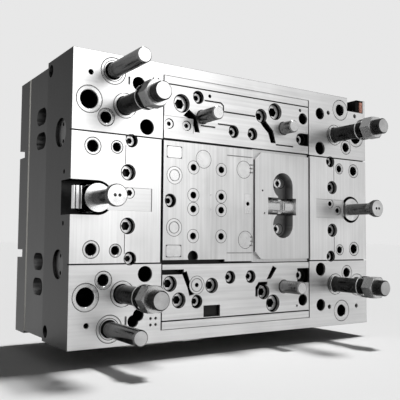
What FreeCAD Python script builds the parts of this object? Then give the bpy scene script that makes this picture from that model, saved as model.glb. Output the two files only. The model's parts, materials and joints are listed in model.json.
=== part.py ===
import FreeCAD, Part
import math
import os

import Sketcher

# Moving half of a two-plate mould base, in millimetres. X is the width, Z is up, and the parting
# face looks towards -Y. The origin is the centre of the register ring on the clamping face.

doc = FreeCAD.newDocument("mould_base")
sheet = doc.addObject("Spreadsheet::Sheet", "dims")

SIZES = [
    # Plates of the stack
    ("plate_width", 696), ("plate_height", 496), ("frame_thick", 120), ("housing_thick", 96),
    ("insulation_thick", 8), ("clamp_thick", 52), ("step_top", 9), ("step_bottom", 5),
    # Cross-shaped pocket of the frame plate and the blocks that fill it
    ("slot_height", 223), ("cheek_thick", 45), ("pocket_width", 354), ("pocket_height", 455),
    ("pocket_deep", 60), ("split_x", 30), ("rail_width", 15), ("groove_wide", 2.5),
    ("groove_deep", 7), ("seat_gap", 0.05),
    # Leader pins and their bushes
    ("leader_inset_x", 73), ("leader_inset_z", 30), ("leader_dia", 26), ("leader_reach", 113),
    ("leader_head_dia", 34), ("leader_head_thick", 8), ("leader_bush_dia", 42),
    ("leader_bush_length", 70), ("running_gap", 0.03), ("mouth_wide", 2.5), ("mouth_deep", 6),
    # Puller bolts that limit the opening stroke of the frame plate
    ("puller_inset_x", 96), ("puller_inset_z", 87), ("puller_dia", 31), ("puller_reach", 134),
    ("puller_head_dia", 42), ("puller_head_thick", 12), ("puller_clear", 1.5),
    ("puller_neck_dia", 28), ("puller_neck_length", 2.5), ("puller_neck_at", 70),
    ("nut_across", 41), ("nut_thick", 24), ("nut_at", 92),
    # Open bushes of the parting face
    ("receiver_inset_x", 78), ("receiver_dia", 40), ("receiver_bore", 25), ("receiver_length", 50),
    ("guide_inset_x", 30), ("guide_inset_z", 84), ("guide_dia", 42), ("guide_bore", 32),
    ("guide_length", 70), ("dowel_inset_x", 61), ("dowel_inset_z", 111), ("dowel_dia", 30),
    ("dowel_bore", 20), ("dowel_length", 40), ("flange_wide", 2), ("flange_thick", 4),
    # Bare holes of the parting face
    ("tapped_x", 32), ("tapped_z", 17), ("tapped_dia", 28), ("tapped_deep", 45),
    ("slot_hole_x", 49), ("slot_hole_z", 45), ("slot_hole_dia", 25), ("slot_hole_deep", 55),
    ("vent_inset_x", 32), ("vent_inset_z", 38), ("vent_dia", 9.5), ("vent_deep", 30),
    # Screws: counterbore, head, socket, shank and depth of the head's top
    ("large_cbore", 34), ("large_head", 30), ("large_socket", 17), ("large_shank", 20),
    ("medium_cbore", 28), ("medium_head", 24), ("medium_socket", 14), ("medium_shank", 16),
    ("small_cbore", 25), ("small_head", 18), ("small_socket", 10), ("small_shank", 12),
    ("head_sunk", 9), ("thread_deep", 24),
    # Latch studs with their keepers
    ("stud_inset", 48), ("stud_dia", 48), ("stud_reach", 76), ("stud_head_dia", 36),
    ("stud_land", 8), ("stud_cone", 15), ("stud_waist_dia", 24), ("stud_proud", 3),
    ("stud_deep", 75), ("stud_tail", 30), ("ring_pitch", 14.5), ("ring_groove", 7),
    ("ring_depth", 4), ("stud_room", 5), ("side_notch_deep", 42), ("keeper_width", 40),
    ("keeper_thick", 20), ("keeper_sunk", 2), ("keeper_start", 20), ("keeper_grip", 5),
    # Ejector set
    ("ejector_gap", 10), ("ejector_height", 380), ("ejector_thick", 22), ("retainer_thick", 16),
    ("button_thick", 5), ("button_dia", 26), ("channel_wall", 123), ("web_thick", 28),
    ("pin_clear", 0.5), ("pin_head_wide", 4), ("pin_head_thick", 6), ("pillar_dia", 50),
    ("pillar_clear", 2), ("guide_pin_dia", 20), ("guide_pin_inset_x", 25), ("guide_pin_inset_z", 30),
    ("guide_bush_dia", 32), ("guide_bush_flange", 38), ("guide_pin_seat", 10),
    # Register ring
    ("ring_dia", 125), ("ring_thick", 20), ("ring_proud", 15), ("ejector_bore", 60),
    ("ring_screw_circle", 94), ("ring_spigot_dia", 121), ("ring_relief", 2.5),
]

for line, (alias, value) in enumerate(SIZES, start=1):
    sheet.set(f"A{line}", alias.replace("_", " "))
    sheet.set(f"B{line}", str(value))
    sheet.setAlias(f"B{line}", alias)
doc.recompute()


class Size:
    """A size rule: its text for FreeCAD's expressions, and the value it starts with."""

    def __init__(self, text, value):
        self.text = text
        self.value = value

    def __add__(self, other):
        return joined(self, "+", other)

    def __radd__(self, other):
        return joined(other, "+", self)

    def __sub__(self, other):
        return joined(self, "-", other)

    def __rsub__(self, other):
        return joined(other, "-", self)

    def __mul__(self, other):
        return joined(self, "*", other)

    def __rmul__(self, other):
        return joined(other, "*", self)

    def __truediv__(self, other):
        return joined(self, "/", other)

    def __neg__(self):
        return joined(0, "-", self)


def as_size(number):
    return number if isinstance(number, Size) else Size(f"({number})", number)


def joined(first, sign, second):
    first, second = as_size(first), as_size(second)
    if sign == "+":
        value = first.value + second.value
    elif sign == "-":
        value = first.value - second.value
    elif sign == "*":
        value = first.value * second.value
    else:
        value = first.value / second.value
    return Size(f"({first.text} {sign} {second.text})", value)


size = {alias: Size(f"dims.{alias}", value) for alias, value in SIZES}
nodes = []


def node(name, thing):
    """Gives a finished sub-part its name and lists it for export."""
    thing.Label = name
    nodes.append(thing)


def bind(thing, prop, rule):
    thing.setExpression(prop, as_size(rule).text)


TURNS = {
    "none": FreeCAD.Rotation(),
    "out": FreeCAD.Rotation(FreeCAD.Vector(1, 0, 0), 90),
    "in": FreeCAD.Rotation(FreeCAD.Vector(1, 0, 0), -90),
    "right": FreeCAD.Rotation(FreeCAD.Vector(0, 1, 0), 90),
}


def place(thing, x, y, z, turn="none"):
    thing.Placement = FreeCAD.Placement(FreeCAD.Vector(), TURNS[turn])
    bind(thing, "Placement.Base.x", x)
    bind(thing, "Placement.Base.y", y)
    bind(thing, "Placement.Base.z", z)
    return thing


def box(x0, x1, y0, y1, z0, z1):
    thing = doc.addObject("Part::Box", "block")
    bind(thing, "Length", x1 - as_size(x0))
    bind(thing, "Width", y1 - as_size(y0))
    bind(thing, "Height", z1 - as_size(z0))
    return place(thing, x0, y0, z0)


def rod(x, y, z, dia, length, turn="in"):
    thing = doc.addObject("Part::Cylinder", "rod")
    bind(thing, "Radius", as_size(dia) / 2)
    bind(thing, "Height", length)
    return place(thing, x, y, z, turn)


def fused(things):
    if len(things) == 1:
        return things[0]
    group = doc.addObject("Part::MultiFuse", "group")
    group.Shapes = things
    return group


def cut(base, tools):
    thing = doc.addObject("Part::Cut", "cut")
    thing.Base = base
    thing.Tool = fused(tools)
    return thing


def together(things):
    """Separate solids of one node."""
    group = doc.addObject("Part::Compound", "set")
    group.Links = things
    return group


def pin_point(sketch, spot, x, y):
    """Fixes one sketch point at (x, y) from the sketch's origin, both zero or positive."""
    for kind, axis, rule in (("DistanceX", -2, x), ("DistanceY", -1, y)):
        rule = as_size(rule)
        if rule.value == 0:
            sketch.addConstraint(Sketcher.Constraint("PointOnObject", *spot, axis))
            continue
        index = sketch.addConstraint(Sketcher.Constraint(kind, -1, 1, *spot, rule.value))
        sketch.setExpression(f"Constraints[{index}]", rule.text)


def polygon(sketch, points):
    """Draws a closed outline of straight lines through points, each fixed by its own rules."""
    spots = [FreeCAD.Vector(as_size(x).value, as_size(y).value, 0) for x, y in points]
    first = len(sketch.Geometry)
    count = len(points)
    for n in range(count):
        sketch.addGeometry(Part.LineSegment(spots[n], spots[(n + 1) % count]), False)
    for n in range(count):
        ends = (first + n, 2, first + (n + 1) % count, 1)
        sketch.addConstraint(Sketcher.Constraint("Coincident", *ends))
    for n, (x, y) in enumerate(points):
        pin_point(sketch, (first + n, 1), x, y)


def circle(sketch, x, y, dia):
    centre = FreeCAD.Vector(as_size(x).value, as_size(y).value, 0)
    radius = as_size(dia) / 2
    index = sketch.addGeometry(Part.Circle(centre, FreeCAD.Vector(0, 0, 1), radius.value), False)
    pin_point(sketch, (index, 3), x, y)
    rule = sketch.addConstraint(Sketcher.Constraint("Radius", index, radius.value))
    sketch.setExpression(f"Constraints[{rule}]", radius.text)


def sketch_on(body, role, level=0):
    sketch = body.newObject("Sketcher::SketchObject", "sketch")
    plane = next(part for part in body.Origin.OriginFeatures if part.Role == role)
    sketch.AttachmentSupport = [(plane, "")]
    sketch.MapMode = "FlatFace"
    if as_size(level).value:
        bind(sketch, "AttachmentOffset.Base.z", level)
    return sketch


class Block:
    """A plate or insert padded from its rear face towards the parting side, then machined.

    Outlines and holes are given by their world x and z; depths run inwards from the front.
    """

    def __init__(self, x0, x1, z0, z1, rear, thick, inset=(0, 0, 0, 0)):
        self.x0, self.z0, self.thick = as_size(x0), as_size(z0), as_size(thick)
        self.body = doc.addObject("PartDesign::Body", "body")
        place(self.body, x0, rear, z0, "out")
        relief = size["groove_deep"] if any(inset) else as_size(0)
        self.pad([(x0, z0), (x1, z0), (x1, z1), (x0, z1)], 0, self.thick - relief)
        if any(inset):
            left, right, low, high = (size["groove_wide"] * share for share in inset)
            raised = [(x0 + left, z0 + low), (x1 - right, z0 + low),
                      (x1 - right, z1 - high), (x0 + left, z1 - high)]
            self.pad(raised, self.thick - relief, relief)

    def local(self, points):
        return [(x - self.x0, z - self.z0) for x, z in points]

    def pad(self, points, level, length):
        sketch = sketch_on(self.body, "XY_Plane", level)
        polygon(sketch, self.local(points))
        pad = self.body.newObject("PartDesign::Pad", "pad")
        pad.Profile = sketch
        bind(pad, "Length", length)
        sketch.Visibility = False

    def pocket(self, sketch, depth, from_rear):
        pocket = self.body.newObject("PartDesign::Pocket", "pocket")
        pocket.Profile = sketch
        bind(pocket, "Length", depth)
        pocket.Reversed = from_rear
        sketch.Visibility = False

    def mill(self, points, depth, level=None, from_rear=False):
        level = level or (0 if from_rear else self.thick)
        sketch = sketch_on(self.body, "XY_Plane", level)
        polygon(sketch, self.local(points))
        self.pocket(sketch, depth, from_rear)

    def drill(self, spots, dia, depth, level=None, from_rear=False):
        level = level or (0 if from_rear else self.thick)
        sketch = sketch_on(self.body, "XY_Plane", level)
        for x, z in self.local(spots):
            circle(sketch, x, z, dia)
        self.pocket(sketch, depth, from_rear)

    def round_corners(self, radius):
        """Rounds the upright edges of the block's last pad."""
        doc.recompute()
        pad = self.body.Tip
        upright = [f"Edge{n}" for n, edge in enumerate(pad.Shape.Edges, start=1)
                   if abs(edge.tangentAt(edge.FirstParameter).z) > 0.99]
        fillet = self.body.newObject("PartDesign::Fillet", "fillet")
        fillet.Base = (pad, upright)
        fillet.Radius = radius


def turned(profile, x, y, z, turn="out"):
    """Revolves an outline of (radius, height) points about its own axis."""
    body = doc.addObject("PartDesign::Body", "turned")
    sketch = sketch_on(body, "XZ_Plane")
    polygon(sketch, profile)
    revolution = body.newObject("PartDesign::Revolution", "revolution")
    revolution.Profile = sketch
    revolution.ReferenceAxis = (sketch, ["V_Axis"])
    revolution.Angle = 360
    sketch.Visibility = False
    return place(body, x, y, z, turn)


def rectangle(x0, x1, z0, z1):
    return [(x0, z0), (x1, z0), (x1, z1), (x0, z1)]


def corners(x, z):
    """The four mirrored places of one spot."""
    return [(side * x, height * z) for side in (-1, 1) for height in (-1, 1)]


half_width = size["plate_width"] / 2
half_height = size["plate_height"] / 2
housing_rear = -(size["clamp_thick"] + size["insulation_thick"])
frame_rear = housing_rear - size["housing_thick"]
face = frame_rear - size["frame_thick"]
pocket_half = size["pocket_width"] / 2
slot_half = size["slot_height"] / 2
channel_half = half_width - size["channel_wall"]
ejector_half = channel_half - size["ejector_gap"]
ejector_half_high = size["ejector_height"] / 2
bar_high = size["pocket_height"] / 2 - size["rail_width"]
web_rear = frame_rear + size["web_thick"]
ejector_rear = housing_rear - size["button_thick"]
retainer_rear = ejector_rear - size["ejector_thick"]
stud_x = half_width - size["stud_inset"]
stud_bore = size["stud_dia"] + 2 * size["stud_room"]

leader_spots = [(-(half_width - size["leader_inset_x"]), sign * (half_height - size["leader_inset_z"]))
                for sign in (-1, 1)]
receiver_spots = [(half_width - size["receiver_inset_x"], z) for x, z in leader_spots]
puller_spots = corners(half_width - size["puller_inset_x"], half_height - size["puller_inset_z"])
guide_spots = corners(half_width - size["guide_inset_x"], half_height - size["guide_inset_z"])
dowel_spots = corners(half_width - size["dowel_inset_x"], half_height - size["dowel_inset_z"])
housing_screw_spots = (corners(half_width - 30, half_height - 43)
                       + [(-(half_width - 30), as_size(0)), (half_width - 30, as_size(0))])
pillar_spots = corners(as_size(135), as_size(60))
guide_pin_spots = corners(ejector_half - size["guide_pin_inset_x"],
                          ejector_half_high - size["guide_pin_inset_z"])
large_pin_spots = [(-89, 81), (5, 68), (9, -68)]
small_pin_spots = [(-88.5, 14), (-71.5, 14), (-88.5, -12), (-71.5, -12)]
LARGE_PIN, SMALL_PIN = 25, 5


def cap_screw(kind, x, z, head_rear, shank_length, turn="out"):
    """A hexagon socket cap screw; head_rear is the y of the face under its head."""
    head, shank = size[f"{kind}_head"], size[f"{kind}_shank"]
    socket = size[f"{kind}_socket"]
    forward = -1 if turn == "out" else 1
    reverse = "in" if turn == "out" else "out"
    body = fused([rod(x, head_rear, z, head, shank, turn),
                  rod(x, head_rear, z, shank, shank_length, reverse)])
    key = doc.addObject("Part::Prism", "socket")
    key.Polygon = 6
    bind(key, "Circumradius", socket / math.sqrt(3))
    bind(key, "Height", shank * 0.6)
    place(key, x, head_rear + forward * shank * 0.4, z, turn)
    return cut(body, [key])


# Register ring and its four screws on the clamping face
ring_seat = size["ring_thick"] - size["ring_proud"]
ring_outer, ring_bore = size["ring_dia"] / 2, size["ejector_bore"] / 2
spigot = size["ring_spigot_dia"] / 2
ring = turned([(ring_bore, 0), (spigot, 0), (spigot, ring_seat),
               (ring_outer, ring_seat), (ring_outer, size["ring_thick"] - 3),
               (ring_outer - 3, size["ring_thick"]), (ring_bore + 6, size["ring_thick"]),
               (ring_bore, size["ring_thick"] - 6)], 0, -ring_seat, 0, "in")
ring_spots = corners(size["ring_screw_circle"] / math.sqrt(8), size["ring_screw_circle"] / math.sqrt(8))
ring_holes = []
for x, z in ring_spots:
    ring_holes += [rod(x, -ring_seat, z, 9, size["ring_thick"]),
                   rod(x, size["ring_proud"] - 9, z, 15, 9)]
node("register_ring", cut(ring, ring_holes))


def ring_screw(x, z):
    under_head = size["ring_proud"] - 9
    body = fused([rod(x, under_head, z, 13, 8), rod(x, under_head, z, 8, 34, "out")])
    key = doc.addObject("Part::Prism", "socket")
    key.Polygon = 6
    key.Circumradius = 3.5
    key.Height = 5
    place(key, x, under_head + 3.5, z, "in")
    return cut(body, [key])


node("register_ring_screws", together([ring_screw(x, z) for x, z in ring_spots]))

# Clamp plate: register ring seat, rod bore, clamp slots and the screws that hold the stack
clamp = Block(-half_width, half_width, -half_height, half_height - size["step_top"],
              0, size["clamp_thick"])
clamp.drill([(0, 0)], size["ejector_bore"], size["clamp_thick"])
clamp.drill([(0, 0)], size["ring_spigot_dia"] + 0.04, ring_seat, from_rear=True)
clamp.drill([(0, 0)], size["ring_spigot_dia"] + 2 * size["ring_relief"], size["ring_relief"], from_rear=True)
clamp.drill(ring_spots, 8, 38, from_rear=True)
clamp.drill(housing_screw_spots, size["large_shank"] + 1, size["clamp_thick"])
clamp.drill(housing_screw_spots, size["large_cbore"], size["large_shank"] + 4, from_rear=True)
for side in (-1, 1):
    for z in (-105, 90):
        clamp.mill(rectangle(side * half_width, side * (half_width - 25), z, z + 15), 30, from_rear=True)
node("clamp_plate", clamp.body)
node("housing_screws", together(
    [cap_screw("large", x, z, -(size["large_shank"] + 4), 76, "in") for x, z in housing_screw_spots]))

# Insulation plate between the clamp plate and the ejector housing
insulation = Block(-half_width, half_width, -half_height + size["step_bottom"],
                   half_height - size["step_top"], -size["clamp_thick"], size["insulation_thick"])
insulation.drill([(0, 0)], size["ejector_bore"], size["insulation_thick"])
insulation.drill(housing_screw_spots, size["large_shank"] + 1, size["insulation_thick"])
node("insulation_plate", insulation.body)

# Ejector housing: one block with a channel for the ejector plates behind its front web
housing = Block(-half_width, half_width, -half_height + size["step_bottom"],
                half_height - size["step_top"], housing_rear, size["housing_thick"])
housing.mill(rectangle(-channel_half, channel_half, -half_height + size["step_bottom"],
                       half_height - size["step_top"]),
             size["housing_thick"] - size["web_thick"], from_rear=True)
housing.drill(large_pin_spots, LARGE_PIN + 2 * size["pin_clear"], size["web_thick"])
housing.drill(small_pin_spots, SMALL_PIN + 2 * size["pin_clear"], size["web_thick"])
housing.drill(leader_spots, size["leader_dia"] + 0.04, size["housing_thick"])
housing.drill(leader_spots, size["leader_head_dia"] + 1, size["leader_head_thick"], from_rear=True)
housing.drill(puller_spots, size["puller_dia"] + 0.04, size["housing_thick"])
housing.drill(puller_spots, size["puller_head_dia"] + 1, size["puller_head_thick"], from_rear=True)
housing.drill(housing_screw_spots, size["large_shank"] + 0.04, 50, from_rear=True)
housing.drill(guide_pin_spots, size["guide_pin_dia"] + 0.04, size["guide_pin_seat"],
              level=size["housing_thick"] - size["web_thick"], from_rear=True)
side_pockets = []
for side in (-1, 1):
    for z in (-155, -110, 110, 155):
        for y in (frame_rear + 20, frame_rear + 41):
            side_pockets.append(rod(side * half_width - 20, y, z, 31, 40, "right"))
        side_pockets.append(box(side * half_width - 20, side * half_width + 20,
                                frame_rear + 20, frame_rear + 41, z - 15.5, z + 15.5))
node("ejector_housing", cut(housing.body, side_pockets))

# Inside the housing: pillars, stop buttons and guide pins of the ejector set
channel_deep = size["housing_thick"] - size["web_thick"]
node("support_pillars", together(
    [rod(x, housing_rear, z, size["pillar_dia"], channel_deep, "out") for x, z in pillar_spots]))
button_spots = (corners(as_size(60), ejector_half_high - 40)
                + corners(ejector_half - 35, as_size(70)))
node("stop_buttons", together(
    [rod(x, housing_rear, z, size["button_dia"], size["button_thick"], "out")
     for x, z in button_spots]))
node("ejector_guide_pins", together(
    [rod(x, housing_rear, z, size["guide_pin_dia"], channel_deep + size["guide_pin_seat"], "out")
     for x, z in guide_pin_spots]))


# Leader pins and puller bolts stand in the housing and run out through the frame plate
def shouldered(dia, head_dia, head_thick, reach, groove=True):
    """Half outline of a headed pin that ends reach in front of the parting face."""
    total = size["housing_thick"] + size["frame_thick"] + reach
    outline = [(0, 0), (head_dia / 2, 0), (head_dia / 2, head_thick), (dia / 2, head_thick)]
    if groove:
        neck = total - reach + size["puller_neck_at"]
        slim = size["puller_neck_dia"] / 2
        outline += [(dia / 2, neck), (slim, neck), (slim, neck + size["puller_neck_length"]),
                    (dia / 2, neck + size["puller_neck_length"])]
    return outline + [(dia / 2, total - 2), (dia / 2 - 2, total), (0, total)]


leader_outline = shouldered(size["leader_dia"], size["leader_head_dia"], size["leader_head_thick"],
                            size["leader_reach"], groove=False)
node("leader_pins", together([turned(leader_outline, x, housing_rear, z) for x, z in leader_spots]))
puller_outline = shouldered(size["puller_dia"], size["puller_head_dia"], size["puller_head_thick"],
                            size["puller_reach"])
node("puller_bolts", together([turned(puller_outline, x, housing_rear, z) for x, z in puller_spots]))


def hexagon_nut(x, y, z, across, bore, thick):
    nut = doc.addObject("Part::Prism", "nut")
    nut.Polygon = 6
    bind(nut, "Circumradius", across / math.sqrt(3))
    bind(nut, "Height", thick)
    place(nut, x, y, z, "out")
    dome = doc.addObject("Part::Cone", "dome")
    bind(dome, "Radius1", across * 0.5 + thick * 1.2)
    bind(dome, "Radius2", across * 0.5)
    bind(dome, "Height", thick)
    place(dome, x, y, z, "out")
    rounded = doc.addObject("Part::Common", "rounded")
    rounded.Base, rounded.Tool = nut, dome
    return cut(rounded, [rod(x, y, z, bore, thick, "out")])


node("puller_nuts", together(
    [hexagon_nut(x, face - size["nut_at"], z, size["nut_across"], size["puller_dia"] + 0.04,
                 size["nut_thick"]) for x, z in puller_spots]))


# Ejector plates, pins and guide bushes, which slide as one set
def ejector_plate(rear, thick):
    plate = Block(-ejector_half, ejector_half, -ejector_half_high, ejector_half_high, rear, thick)
    plate.drill(pillar_spots, size["pillar_dia"] + 2 * size["pillar_clear"], thick)
    plate.drill(guide_pin_spots, size["guide_bush_dia"] + 0.04, thick)
    return plate


ejector_screw_spots = corners(as_size(60), as_size(120))
thrust = ejector_plate(ejector_rear, size["ejector_thick"])
thrust.drill(guide_pin_spots, size["guide_bush_flange"] + 1, 5, from_rear=True)
thrust.drill(ejector_screw_spots, size["small_shank"] + 1, size["ejector_thick"])
thrust.drill(ejector_screw_spots, size["small_cbore"], size["small_shank"] + 1, from_rear=True)
node("ejector_plate", thrust.body)
retainer = ejector_plate(retainer_rear, size["retainer_thick"])
retainer.drill(large_pin_spots, LARGE_PIN + 2 * size["pin_clear"], size["retainer_thick"])
retainer.drill(small_pin_spots, SMALL_PIN + 2 * size["pin_clear"], size["retainer_thick"])
retainer.drill(large_pin_spots, LARGE_PIN + 2 * size["pin_head_wide"] + 1, size["pin_head_thick"],
               from_rear=True)
retainer.drill(small_pin_spots, SMALL_PIN + size["pin_head_wide"] + 1, size["pin_head_thick"],
               from_rear=True)
retainer.drill(ejector_screw_spots, size["small_shank"] + 0.04, 14, from_rear=True)
node("ejector_retainer_plate", retainer.body)
node("ejector_plate_screws", together(
    [cap_screw("small", x, z, ejector_rear - size["small_shank"] - 1, 20, "in")
     for x, z in ejector_screw_spots]))
pin_length = retainer_rear - face


def ejector_pin(x, z, dia, head_dia):
    stem = [(0, 0), (as_size(head_dia) / 2, 0), (as_size(head_dia) / 2, size["pin_head_thick"]),
            (as_size(dia) / 2, size["pin_head_thick"]), (as_size(dia) / 2, pin_length), (0, pin_length)]
    return turned(stem, x, retainer_rear, z)


node("core_ejector_pins", together(
    [ejector_pin(x, z, LARGE_PIN, LARGE_PIN + 2 * size["pin_head_wide"]) for x, z in large_pin_spots]))
node("small_ejector_pins", together(
    [ejector_pin(x, z, SMALL_PIN, SMALL_PIN + size["pin_head_wide"]) for x, z in small_pin_spots]))
bush_length = size["ejector_thick"] + size["retainer_thick"]
guide_radius = size["guide_pin_dia"] / 2 + size["running_gap"]
flange = size["guide_bush_flange"] / 2
bush_outline = [(guide_radius, 0), (flange, 0), (flange, 5), (size["guide_bush_dia"] / 2, 5),
                (size["guide_bush_dia"] / 2, bush_length), (guide_radius, bush_length)]
node("ejector_guide_bushes", together(
    [turned(bush_outline, x, ejector_rear, z) for x, z in guide_pin_spots]))


# Frame plate: the full-width slot, the centre pocket and every hole of its four corners
frame = Block(-half_width, half_width, -half_height, half_height, frame_rear, size["frame_thick"])
frame.mill(rectangle(-half_width, half_width, -slot_half, slot_half), size["cheek_thick"])
frame.mill(rectangle(-pocket_half, pocket_half, -size["pocket_height"] / 2,
                     size["pocket_height"] / 2), size["pocket_deep"])


def bush_seats(spots, dia, bore, length, pass_dia):
    frame.drill(spots, dia + 0.04, length)
    frame.drill(spots, dia + 2 * size["flange_wide"] + 0.04, size["flange_thick"])
    frame.drill(spots, pass_dia, size["frame_thick"])


bush_seats(leader_spots, size["leader_bush_dia"], size["leader_dia"], size["leader_bush_length"],
           size["leader_dia"] + 2)
bush_seats(receiver_spots, size["receiver_dia"], size["receiver_bore"], size["receiver_length"],
           size["receiver_bore"] + 1)
bush_seats(guide_spots, size["guide_dia"], size["guide_bore"], size["guide_length"],
           size["guide_bore"] + 1)
frame.drill(dowel_spots, size["dowel_dia"] + 0.04, size["dowel_length"])
frame.drill(puller_spots, size["puller_dia"] + 2 * size["puller_clear"], size["frame_thick"])
tapped_x, tapped_z = pocket_half + size["tapped_x"], slot_half + size["tapped_z"]
frame.drill(corners(tapped_x, tapped_z), size["tapped_dia"], size["tapped_deep"])
slot_hole_x, slot_hole_z = pocket_half + size["slot_hole_x"], half_height - size["slot_hole_z"]
frame.drill([(-slot_hole_x, slot_hole_z), (tapped_x, slot_hole_z), (tapped_x, -slot_hole_z)],
            size["slot_hole_dia"], size["slot_hole_deep"])
# The lower left hole of that group is an oblong one, milled at 45 degrees
oblong = [(-slot_hole_x - shift, -slot_hole_z - shift) for shift in (-5, 5)]
for spot in oblong:
    frame.drill([spot], size["slot_hole_dia"] - 4, size["slot_hole_deep"])
frame.drill(corners(half_width - size["vent_inset_x"], half_height - size["vent_inset_z"]),
            size["vent_dia"], size["vent_deep"])
frame.drill([(pocket_half + 57, sign * (half_height - 40)) for sign in (-1, 1)],
            size["vent_dia"], size["vent_deep"])
for sign in (-1, 1):
    mark_z = sign * (half_height - 42)
    frame.mill(rectangle(-(pocket_half + 70), -(pocket_half + 66), mark_z - 7, mark_z + 7), 4)
    frame.drill([(-(pocket_half + along), sign * (half_height - 37) + up)
                 for along in (10, 20) for up in (-5.5, 5.5)], 5, 8)

# Port notch of the top right corner with its cap
notch_right = half_width - 6
frame.mill(rectangle(notch_right - 50, notch_right, half_height - 29, half_height), 30)
node("port_cap", fused([box(notch_right - 21, notch_right - 1, face - 1, face + 30,
                            half_height - 19, half_height - 1),
                        rod(notch_right - 11, face - 1, half_height - 19, 20, 31)]))

stud_spots = [(-stud_x, as_size(0)), (stud_x, as_size(0))]
cheek_floor = size["frame_thick"] - size["cheek_thick"]
pocket_floor = size["frame_thick"] - size["pocket_deep"]
frame.drill(stud_spots, stud_bore, size["stud_deep"] - size["cheek_thick"], level=cheek_floor)
frame.drill(stud_spots, size["stud_waist_dia"] + 0.04,
            size["stud_deep"] + size["stud_tail"] - size["cheek_thick"], level=cheek_floor)
frame.drill(large_pin_spots, LARGE_PIN + 2 * size["pin_clear"], pocket_floor, level=pocket_floor)
frame.drill(small_pin_spots, SMALL_PIN + 2 * size["pin_clear"], pocket_floor, level=pocket_floor)

# Screws of the parting face by size; each holds its block to the frame plate below
cheek_screws = corners(half_width - 104, as_size(46))
seam_screws = corners(half_width - 109, slot_half - 9.5)
latch_screws = [(side * (half_width - 86), as_size(-3)) for side in (-1, 1)]
keeper_screws = [(side * (half_width - 108), as_size(11)) for side in (-1, 1)]
upper_small = [(-20, 140), (26, 140), (153, 142), (-102, 196)]
lower_small = [(-27, -139), (22, -139), (152, -140), (-102, -181)]
upper_medium = [(48, 179)]
lower_medium = [(-159, -147), (-69, -153), (-140, -177), (55, -170)]
upper_large = [(-138, 180), (84, 192)]
lower_large = [(78, -193)]
lock_screws = [(-163, 140), (-126, 140)]
core_screws = [(-160, 1)]
cavity_screws = [(98, 47), (93, -46)]


def threads(spots, kind, floor):
    frame.drill(spots, size[f"{kind}_shank"] + 0.04, size["thread_deep"], level=floor)


threads(cheek_screws, "medium", cheek_floor)
threads(seam_screws + latch_screws + keeper_screws, "small", cheek_floor)
threads(upper_small + lower_small + core_screws, "small", pocket_floor)
threads(upper_medium + lower_medium, "medium", pocket_floor)
threads(cavity_screws, "small", pocket_floor)
frame.drill(lock_screws, 10.04, 12, level=pocket_floor)
threads(upper_large + lower_large, "large", pocket_floor)


def screw_seats(block, kind, spots):
    """Counterbores and through holes for the screws that hold one block."""
    block.drill(spots, size[f"{kind}_cbore"], size["head_sunk"] + size[f"{kind}_shank"])
    block.drill(spots, size[f"{kind}_shank"] + 1, block.thick)


def screws(kind, spots, seat_thick, sunk=None):
    """Cap screws of one size; seat_thick is the thickness of the blocks they hold."""
    under_head = face + (size["head_sunk"] if sunk is None else sunk) + size[f"{kind}_shank"]
    length = face + seat_thick + size["thread_deep"] - 2 - under_head
    return [cap_screw(kind, x, z, under_head, length) for x, z in spots]


# Interlock discs and lifting holes in both sides of the frame plate
def side_rods(spots, dia, deep):
    return [rod(side * half_width - deep, y, z, dia, 2 * deep, "right")
            for side in (-1, 1) for y, z in spots]


interlock_spots = [(face + 50, -slot_half), (face + 50, slot_half)]
lift_spots = [(face + 105, -(half_height - 18)), (face + 105, half_height - 18)]
vent_holes = side_rods([(face + 30, as_size(-43)), (face + 30, as_size(43))], 8, 20)
node("frame_plate", cut(frame.body, side_rods(interlock_spots, 50, 11) + side_rods(lift_spots, 22, 40)))
interlocks = []
for side in (-1, 1):
    for y, z in interlock_spots:
        start = side * (half_width - 8) - 3
        holes = [rod(start - 1, y, z + shift, 7, 8, "right") for shift in (-14.5, 14.5)]
        interlocks.append(cut(rod(start, y, z, 49.9, 6, "right"), holes))
node("interlock_discs", together(interlocks))


# Cheeks: the blocks at both ends of the slot, each with a latch stud and its keeper
def latch_stud(x):
    reach, land, cone = size["stud_reach"], size["stud_land"], size["stud_cone"]
    radius, waist, head = size["stud_dia"] / 2, size["stud_waist_dia"] / 2, size["stud_head_dia"] / 2
    tail, top = size["stud_tail"], size["stud_tail"] + size["stud_deep"]
    outline = [(0, 0), (waist, 0), (waist, tail), (radius, tail)]
    for ring in range(4):
        start = tail + 4 + size["ring_pitch"] * ring
        inner = radius - size["ring_depth"]
        outline += [(radius, start), (inner, start), (inner, start + size["ring_groove"]),
                    (radius, start + size["ring_groove"])]
    outline += [(radius, top + size["stud_proud"]), (waist, top + size["stud_proud"]),
                (waist, top + reach - land - cone), (head, top + reach - land),
                (head, top + reach - 1.5), (head - 1.5, top + reach), (0, top + reach)]
    body = turned(outline, x, face + size["stud_deep"] + tail, 0)
    inward = 1 if x.value < 0 else -1
    flat = radius - size["keeper_grip"] - 0.3
    edges = sorted([x + inward * flat, x + inward * (radius + 5)], key=lambda edge: edge.value)
    grip = box(*edges, face - size["stud_proud"] - 1,
               face + size["keeper_sunk"] + size["keeper_thick"] + 0.3, -radius, radius)
    spanner = [rod(x + shift, face - reach - 1, 0, 5.5, 7) for shift in (-4, 4)]
    return cut(body, [grip] + spanner)


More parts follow.
